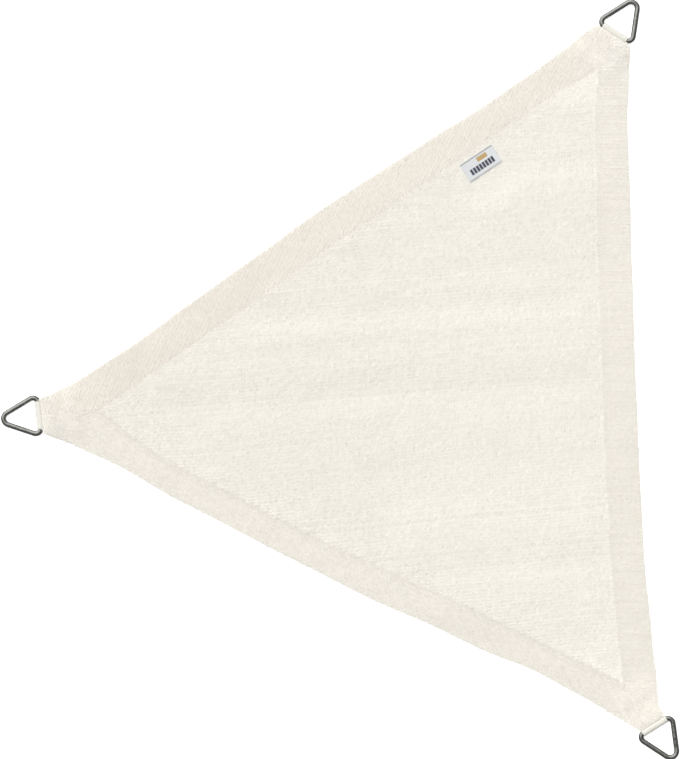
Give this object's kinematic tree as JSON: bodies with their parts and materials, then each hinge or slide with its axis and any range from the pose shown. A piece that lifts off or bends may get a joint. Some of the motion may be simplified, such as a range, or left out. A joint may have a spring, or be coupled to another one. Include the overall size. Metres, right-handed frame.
{
  "type": "shade sail",
  "caption": "Small triangular shade sail of off-white knitted cloth, laid flat, with broad turned hems, a steel triangle ring in a webbing loop at every corner and a plain sewn label.",
  "frame": {"origin": "on the floor, below the middle of the bounding box", "axes": "+Z out of the cloth's face, +Y along the right-hand edge towards the top corner, +X away from the left corner"},
  "size_m": [1.0707, 1.2011, 0.011],
  "materials": {
    "cloth": "matt knitted polyethylene, off-white",
    "webbing": "matt flat-woven webbing, off-white",
    "steel": "polished stainless round bar",
    "ribbon": "satin woven ribbon, pale grey"
  },
  "bodies": {
    "root": {"sail_cloth": "cloth", "corner_loop_left": "webbing", "corner_loop_right": "webbing", "corner_loop_top": "webbing", "ring_left": "steel", "ring_right": "steel", "ring_top": "steel", "label": "ribbon"}
  },
  "joints": []
}
